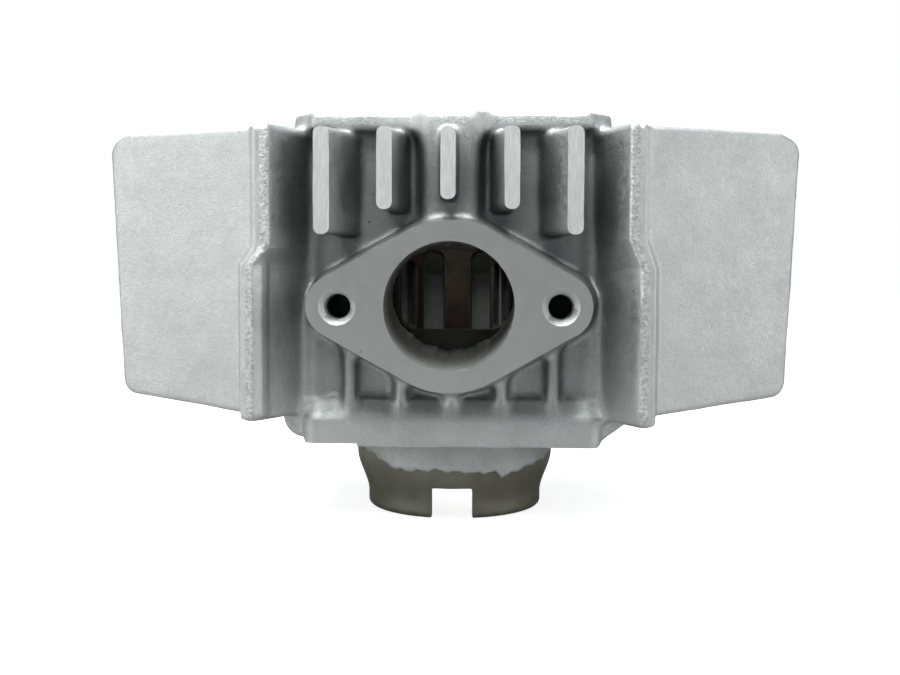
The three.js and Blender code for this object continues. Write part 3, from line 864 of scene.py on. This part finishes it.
class Nodes:
    """Short names for building a node material."""

    def __init__(self, name):
        self.material = bpy.data.materials.new(name)
        self.material.use_nodes = True
        self.tree = self.material.node_tree
        self.shader = self.tree.nodes["Principled BSDF"]
        self.place = self.add("ShaderNodeTexCoord").outputs["Object"]

    def add(self, kind, **settings):
        node = self.tree.nodes.new(kind)
        for key, value in settings.items():
            setattr(node, key, value)
        return node

    def link(self, source, target):
        self.tree.links.new(source, target)

    def noise(self, scale, detail=3.0, roughness=0.6, place=None):
        node = self.add("ShaderNodeTexNoise")
        node.inputs["Scale"].default_value = scale
        node.inputs["Detail"].default_value = detail
        node.inputs["Roughness"].default_value = roughness
        self.link(place or self.place, node.inputs["Vector"])
        return node.outputs["Fac"]

    def ramp(self, source, stops):
        node = self.add("ShaderNodeValToRGB")
        elements = node.color_ramp.elements
        while len(elements) < len(stops):
            elements.new(0.5)
        for element, (position, colour) in zip(elements, stops):
            element.position = position
            element.color = (*colour, 1) if isinstance(colour, tuple) else (colour,) * 3 + (1,)
        self.link(source, node.inputs["Fac"])
        return node.outputs["Color"]

    def spread(self, source, low, high, from_low=0.3, from_high=0.7):
        node = self.add("ShaderNodeMapRange")
        node.inputs["From Min"].default_value = from_low
        node.inputs["From Max"].default_value = from_high
        node.inputs["To Min"].default_value = low
        node.inputs["To Max"].default_value = high
        self.link(source, node.inputs["Value"])
        return node.outputs["Result"]

    def math(self, operation, first, second):
        node = self.add("ShaderNodeMath", operation=operation)
        for socket, value in zip(node.inputs, (first, second)):
            if isinstance(value, (int, float)):
                socket.default_value = value
            else:
                self.link(value, socket)
        return node.outputs["Value"]

    def mix(self, factor, first, second, blend="MIX"):
        node = self.add("ShaderNodeMix", data_type="RGBA", blend_type=blend)
        sockets = (node.inputs[0], node.inputs[6], node.inputs[7])
        for socket, value in zip(sockets, (factor, first, second)):
            if isinstance(value, tuple):
                socket.default_value = (*value, 1)
            elif isinstance(value, (int, float)):
                socket.default_value = value
            else:
                self.link(value, socket)
        return node.outputs[2]

    def stretched(self, factors):
        node = self.add("ShaderNodeMapping")
        node.inputs["Scale"].default_value = factors
        self.link(self.place, node.inputs["Vector"])
        return node.outputs["Vector"]

    def distance_to(self, point):
        """Distance in metres from a point given in millimetres."""
        node = self.add("ShaderNodeVectorMath", operation="DISTANCE")
        node.inputs[1].default_value = [value * MM for value in point]
        self.link(self.place, node.inputs[0])
        return node.outputs["Value"]

    def openness(self, reach):
        """How open the surface is to its surroundings: 1 in the open, towards 0 in a recess."""
        node = self.add("ShaderNodeAmbientOcclusion", only_local=True, samples=6)
        node.inputs["Distance"].default_value = reach
        return node.outputs["AO"]

    def bump(self, height, distance, strength, below=None):
        node = self.add("ShaderNodeBump")
        node.inputs["Distance"].default_value = distance
        node.inputs["Strength"].default_value = strength
        self.link(height, node.inputs["Height"])
        if below is not None:
            self.link(below, node.inputs["Normal"])
        return node.outputs["Normal"]

    def finish(self, colour, roughness, normal, metallic):
        self.link(colour, self.shader.inputs["Base Color"])
        self.link(roughness, self.shader.inputs["Roughness"])
        self.link(normal, self.shader.inputs["Normal"])
        self.shader.inputs["Metallic"].default_value = metallic
        return self.material


# Painted shade: the colour that multiplies the casting's, from closed-in to open places.
PAINTED_RECESS_SHADE = [
    (0.15, (0.20, 0.208, 0.21)),
    (0.42, (0.52, 0.53, 0.525)),
    (0.68, (0.86, 0.865, 0.86)),
    (0.85, 1.0),
]


def cast_aluminium():
    """Shot-blasted die casting: fine grain, soft blotches and a few pinholes, with painted shade in
    its recesses and on the column over the port.
    """
    n = Nodes("cast_aluminium_skin")
    blotches = n.noise(90, 4, 0.65)
    grain = n.noise(2600, 2, 0.7)
    colour = n.ramp(blotches, [(0.3, (0.68, 0.71, 0.695)), (0.7, (0.80, 0.83, 0.815))])
    colour = n.mix(n.spread(grain, 0.0, 0.5), colour, (0.5, 0.52, 0.51))
    pits = n.add("ShaderNodeTexVoronoi")
    pits.inputs["Scale"].default_value = 160
    n.link(n.place, pits.inputs["Vector"])
    hole = n.spread(pits.outputs["Distance"], 1.0, 0.0, 0.035, 0.06)
    chosen = n.spread(n.noise(70, 1), 0.0, 1.0, 0.60, 0.62)
    pinhole = n.math("MULTIPLY", hole, chosen)
    colour = n.mix(pinhole, colour, (0.12, 0.12, 0.11))
    # Painted shade: the casting's colour is darkened where the surface is closed in.
    recess = n.ramp(n.openness(0.030), PAINTED_RECESS_SHADE)
    colour = n.mix(1.0, colour, recess, "MULTIPLY")
    # Painted shade: a soft dark patch on the column over the port.
    port_painted_shade = n.spread(n.distance_to((0, BOSS_LOW[1], 83)), 0.55, 0.0, 0.004, 0.016)
    colour = n.mix(port_painted_shade, colour, (0.10, 0.105, 0.105))
    roughness = n.spread(n.noise(700, 3), 0.46, 0.64)
    grain_normal = n.bump(grain, 0.00012, 0.8)
    waves = n.bump(n.noise(620, 3, 0.6), 0.0004, 0.2, grain_normal)
    return n.finish(colour, roughness, waves, 0.95)


def machined_aluminium():
    """A faced surface: smooth, with faint cutter marks and small brown spots."""
    n = Nodes("machined_aluminium_face")
    blotches = n.noise(120, 3, 0.5)
    colour = n.ramp(blotches, [(0.3, (0.55, 0.555, 0.54)), (0.7, (0.59, 0.595, 0.58))])
    spots = n.spread(n.noise(900, 2, 0.5), 0.0, 0.5, 0.68, 0.74)
    colour = n.mix(spots, colour, (0.36, 0.28, 0.22))
    rings = n.add("ShaderNodeTexWave", wave_type="RINGS", rings_direction="Z")
    rings.inputs["Scale"].default_value = 700
    rings.inputs["Distortion"].default_value = 0.6
    n.link(n.place, rings.inputs["Vector"])
    roughness = n.spread(n.noise(400, 3), 0.41, 0.46)
    fine = n.bump(n.noise(3000, 2), 0.00005, 0.3)
    normal = n.bump(rings.outputs["Fac"], 0.00003, 0.15, fine)
    return n.finish(colour, roughness, normal, 0.9)


def linished_aluminium():
    """Fin ends ground on a belt: bright, with streaks that run up and down."""
    n = Nodes("linished_fin_ends")
    streaks = n.noise(1.0, 3, 0.7, n.stretched((5200, 5200, 260)))
    colour = n.ramp(streaks, [(0.3, (0.74, 0.75, 0.735)), (0.7, (0.93, 0.94, 0.92))])
    roughness = n.spread(streaks, 0.42, 0.6)
    normal = n.bump(streaks, 0.00006, 0.5)
    return n.finish(colour, roughness, normal, 0.75)


def trimmed_aluminium():
    """The strip where the casting's flash was sheared off: torn and sparkling."""
    n = Nodes("trimmed_flash_strip")
    tears = n.noise(1.0, 4, 0.75, n.stretched((900, 900, 1500)))
    colour = n.ramp(tears, [(0.35, (0.4, 0.41, 0.4)), (0.6, (0.76, 0.77, 0.75))])
    roughness = n.spread(n.noise(1500, 3), 0.35, 0.65)
    normal = n.bump(tears, 0.0004, 0.65)
    return n.finish(colour, roughness, normal, 0.9)


def cast_iron():
    """Grey iron: olive grey on the skirt, dark and brown-stained in the bore."""
    n = Nodes("cast_iron_liner")
    blotches = n.noise(150, 4, 0.6)
    colour = n.ramp(blotches, [(0.3, (0.27, 0.27, 0.21)), (0.7, (0.35, 0.35, 0.28))])
    stains = n.spread(n.noise(60, 3, 0.6), 0.0, 0.35, 0.52, 0.68)
    colour = n.mix(stains, colour, (0.26, 0.22, 0.16))
    scores = n.noise(1.0, 3, 0.6, n.stretched((300, 300, 4200)))
    roughness = n.spread(scores, 0.35, 0.55)
    normal = n.bump(scores, 0.00004, 0.5)
    normal = n.bump(n.noise(2200, 2), 0.00005, 0.4, normal)
    return n.finish(colour, roughness, normal, 0.5)


def painted_shade_iron():
    """The liner's outer wall inside the casting, coloured dark as painted shade."""
    n = Nodes("liner_wall_painted_shade")
    # Painted shade: a near-black colour for the wall inside the casting.
    colour = n.ramp(n.noise(140, 4, 0.6), [(0.3, (0.05, 0.05, 0.038)), (0.7, (0.09, 0.088, 0.066))])
    roughness = n.spread(n.noise(500, 3), 0.5, 0.65)
    normal = n.bump(n.noise(1400, 3), 0.00008, 0.5)
    return n.finish(colour, roughness, normal, 0.3)


def honed_iron():
    """The liner's bore, honed to a fine crosshatch."""
    n = Nodes("honed_bore")
    colour = n.ramp(n.noise(120, 3, 0.6), [(0.3, (0.07, 0.065, 0.05)), (0.7, (0.16, 0.11, 0.085))])
    one_way = n.noise(1.0, 2, 0.6, n.stretched((900, 900, 3600)))
    roughness = n.spread(one_way, 0.25, 0.42)
    normal = n.bump(one_way, 0.00004, 0.5)
    return n.finish(colour, roughness, normal, 0.9)


# ---- Finished pieces ----

CASTING_STEP = 0.5  # voxel sizes
LINER_STEP = 0.35
CASTING_TRIANGLES = 190000
LINER_TRIANGLES = 160000
SHARP_DEGREES = 38
SQUARE_ON = 0.999  # a normal's share along an axis on a face machined square to it


def polygon_places(mesh):
    """Every face's centre in millimetres, and its normal."""
    centres = np.empty(len(mesh.polygons) * 3, dtype=np.float32)
    normals = np.empty(len(mesh.polygons) * 3, dtype=np.float32)
    mesh.polygons.foreach_get("center", centres)
    mesh.polygons.foreach_get("normal", normals)
    return centres.reshape(-1, 3) / MM, normals.reshape(-1, 3)


def finish_piece(name, mesh, finishes, choose):
    """Gives each face the finish that `choose` numbers, and shades the mesh smooth."""
    mesh.materials.clear()
    for finish in finishes:
        mesh.materials.append(finish)
    centres, normals = polygon_places(mesh)
    indices = choose(centres, normals).astype(np.int32)
    mesh.polygons.foreach_set("material_index", indices)
    mesh.polygons.foreach_set("use_smooth", np.ones(len(mesh.polygons), dtype=bool))
    mesh.set_sharp_from_angle(angle=math.radians(SHARP_DEGREES))
    mesh.update()
    mesh.name = name
    return mesh_object(name, mesh)


def casting_finishes(centres, normals):
    """The finish of each face: 0 cast, 1 machined, 2 linished fin end, 3 trimmed flash."""
    x, y, z = centres.T
    close = 0.02
    faces_front = normals[:, 1] < -SQUARE_ON
    faces_down = normals[:, 2] < -SQUARE_ON
    flat_front = faces_front & (np.abs(y - FACE_Y) < close)
    flat_top = (normals[:, 2] > SQUARE_ON) & (np.abs(z - DECK_TOP) < close)
    flat_bottom = faces_down & (z < BASE_BOTTOM + 1.2) & (z > BASE_BOTTOM - 0.1)
    holes = np.hypot(np.abs(x) - STUD_OFFSET, np.abs(y) - STUD_OFFSET) < STUD_RADIUS + close
    fin_ends = faces_front & (np.abs(y - FIN_FRONT) < close) & (np.abs(x) < 34)
    strip = np.zeros(len(x), dtype=bool)
    for side, ridge in ((-1, LEFT_RIDGE), (1, RIGHT_RIDGE)):
        along, across = web_places(side * x, -y, z, ridge)
        strip |= (along > -0.6) & (across < 0.3) & (across > -WEB_HALF - 0.3) & (side * x > 38)
    strip &= (normals[:, 1] < -0.5) & (y < 0)
    chosen = np.zeros(len(x), dtype=int)
    chosen[flat_front | flat_top | flat_bottom | holes] = 1
    chosen[fin_ends] = 2
    chosen[strip] = 3
    return chosen


def liner_finishes(centres, normals):
    """The finish of each face: 0 bare iron, 1 honed bore, 2 outer wall inside the casting, dark
    with painted shade.
    """
    radius = np.hypot(centres[:, 0], centres[:, 1])
    height = centres[:, 2]
    inside = (height > SHOULDER_TOP - 1) & (height < DECK_TOP - 1)
    return np.where(radius < BORE_RADIUS + 0.1, 1, np.where(inside, 2, 0))


def make_casting():
    """The casting stands for all the regions that the frame splits it into."""
    cuts = [facing_cuts, base_facing_cut, drilled_holes]
    mesh = machined(carve_casting(CASTING_STEP), CASTING_TRIANGLES, cuts)
    finishes = [cast_aluminium(), machined_aluminium(), linished_aluminium(), trimmed_aluminium()]
    piece = finish_piece("barrel_casting", mesh, finishes, casting_finishes)
    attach(piece, "root")
    nodes = [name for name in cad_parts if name.startswith("casting_")]
    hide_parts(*nodes)


def make_liner():
    mesh = machined(carve_liner(LINER_STEP), LINER_TRIANGLES, [])
    # The third finish is painted shade on the liner's wall inside the casting.
    finishes = [cast_iron(), honed_iron(), painted_shade_iron()]
    piece = finish_piece("iron_liner", mesh, finishes, liner_finishes)
    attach(piece, "root")
    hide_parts("cylinder_liner")


# ---- Stage ----

ROOM_LOW = 0.12
ROOM_HIGH = 0.55


def make_floor():
    """A floor that the camera sees white and the metal sees grey."""
    mesh = bpy.data.meshes.new("floor")
    reach = 3.0
    corners = [(-reach, -reach, 0), (reach, -reach, 0), (reach, reach, 0), (-reach, reach, 0)]
    mesh.from_pydata(corners, [], [(0, 1, 2, 3)])
    floor = mesh_object("floor", mesh)
    material = bpy.data.materials.new("floor_white")
    material.use_nodes = True
    tree = material.node_tree
    seen = tree.nodes["Principled BSDF"]
    seen.inputs["Base Color"].default_value = (0.9, 0.9, 0.9, 1)
    seen.inputs["Roughness"].default_value = 0.9
    seen.inputs["Emission Color"].default_value = (1, 1, 1, 1)
    seen.inputs["Emission Strength"].default_value = 0.8
    dull = tree.nodes.new("ShaderNodeBsdfDiffuse")
    dull.inputs["Color"].default_value = (0.35, 0.35, 0.35, 1)
    path = tree.nodes.new("ShaderNodeLightPath")
    choose = tree.nodes.new("ShaderNodeMixShader")
    tree.links.new(path.outputs["Is Camera Ray"], choose.inputs["Fac"])
    tree.links.new(dull.outputs["BSDF"], choose.inputs[1])
    tree.links.new(seen.outputs["BSDF"], choose.inputs[2])
    tree.links.new(choose.outputs["Shader"], tree.nodes["Material Output"].inputs["Surface"])
    mesh.materials.append(material)


def make_world():
    """White behind everything, and a soft grey room for the metal to reflect."""
    world = bpy.data.worlds.new("studio")
    bpy.context.scene.world = world
    world.use_nodes = True
    tree = world.node_tree
    tree.nodes.clear()
    output = tree.nodes.new("ShaderNodeOutputWorld")
    choose = tree.nodes.new("ShaderNodeMixShader")
    path = tree.nodes.new("ShaderNodeLightPath")
    room = tree.nodes.new("ShaderNodeBackground")
    room.inputs["Color"].default_value = (0.85, 0.9, 0.95, 1)
    direction = tree.nodes.new("ShaderNodeTexCoord")
    split = tree.nodes.new("ShaderNodeSeparateXYZ")
    height = tree.nodes.new("ShaderNodeMapRange")
    height.inputs["From Min"].default_value = 0.1
    height.inputs["From Max"].default_value = 1.0
    height.inputs["To Min"].default_value = ROOM_LOW
    height.inputs["To Max"].default_value = ROOM_HIGH
    tree.links.new(direction.outputs["Generated"], split.inputs["Vector"])
    tree.links.new(split.outputs["Z"], height.inputs["Value"])
    tree.links.new(height.outputs["Result"], room.inputs["Strength"])
    backdrop = tree.nodes.new("ShaderNodeBackground")
    backdrop.inputs["Color"].default_value = (1, 1, 1, 1)
    backdrop.inputs["Strength"].default_value = 1.0
    tree.links.new(path.outputs["Is Camera Ray"], choose.inputs["Fac"])
    tree.links.new(room.outputs["Background"], choose.inputs[1])
    tree.links.new(backdrop.outputs["Background"], choose.inputs[2])
    tree.links.new(choose.outputs["Shader"], output.inputs["Surface"])


def add_softbox(name, place, size, power):
    """A square area light that points at the middle of the part."""
    light = bpy.data.lights.new(name, "AREA")
    light.size = size
    light.energy = power
    lamp = bpy.data.objects.new(name, light)
    bpy.context.scene.collection.objects.link(lamp)
    lamp.location = place
    direction = Vector((0, 0, 0.06)) - Vector(place)
    lamp.rotation_euler = direction.to_track_quat("-Z", "Y").to_euler()


def make_lights():
    add_softbox("key", (-0.06, -0.14, 0.42), 0.35, 2.7)
    add_softbox("left", (-0.55, -0.28, 0.15), 0.3, 0.69)
    add_softbox("right", (0.55, -0.28, 0.15), 0.3, 0.62)


def make_camera():
    """The camera: a little to the right and above, looking slightly down."""
    camera = bpy.data.cameras.new("camera")
    camera.sensor_width = 36
    camera.lens = 43.0
    camera.clip_start = 0.01
    holder = bpy.data.objects.new("camera", camera)
    bpy.context.scene.collection.objects.link(holder)
    holder.location = Vector((8.07, -288.77, 60.54)) * MM
    turns = (90 - 3.22, -0.17, 1.87)
    holder.rotation_euler = [math.radians(turn) for turn in turns]
    bpy.context.scene.camera = holder


make_camera()
make_world()
make_lights()
make_floor()
make_liner()
make_casting()
bpy.context.scene.view_settings.view_transform = "Standard"
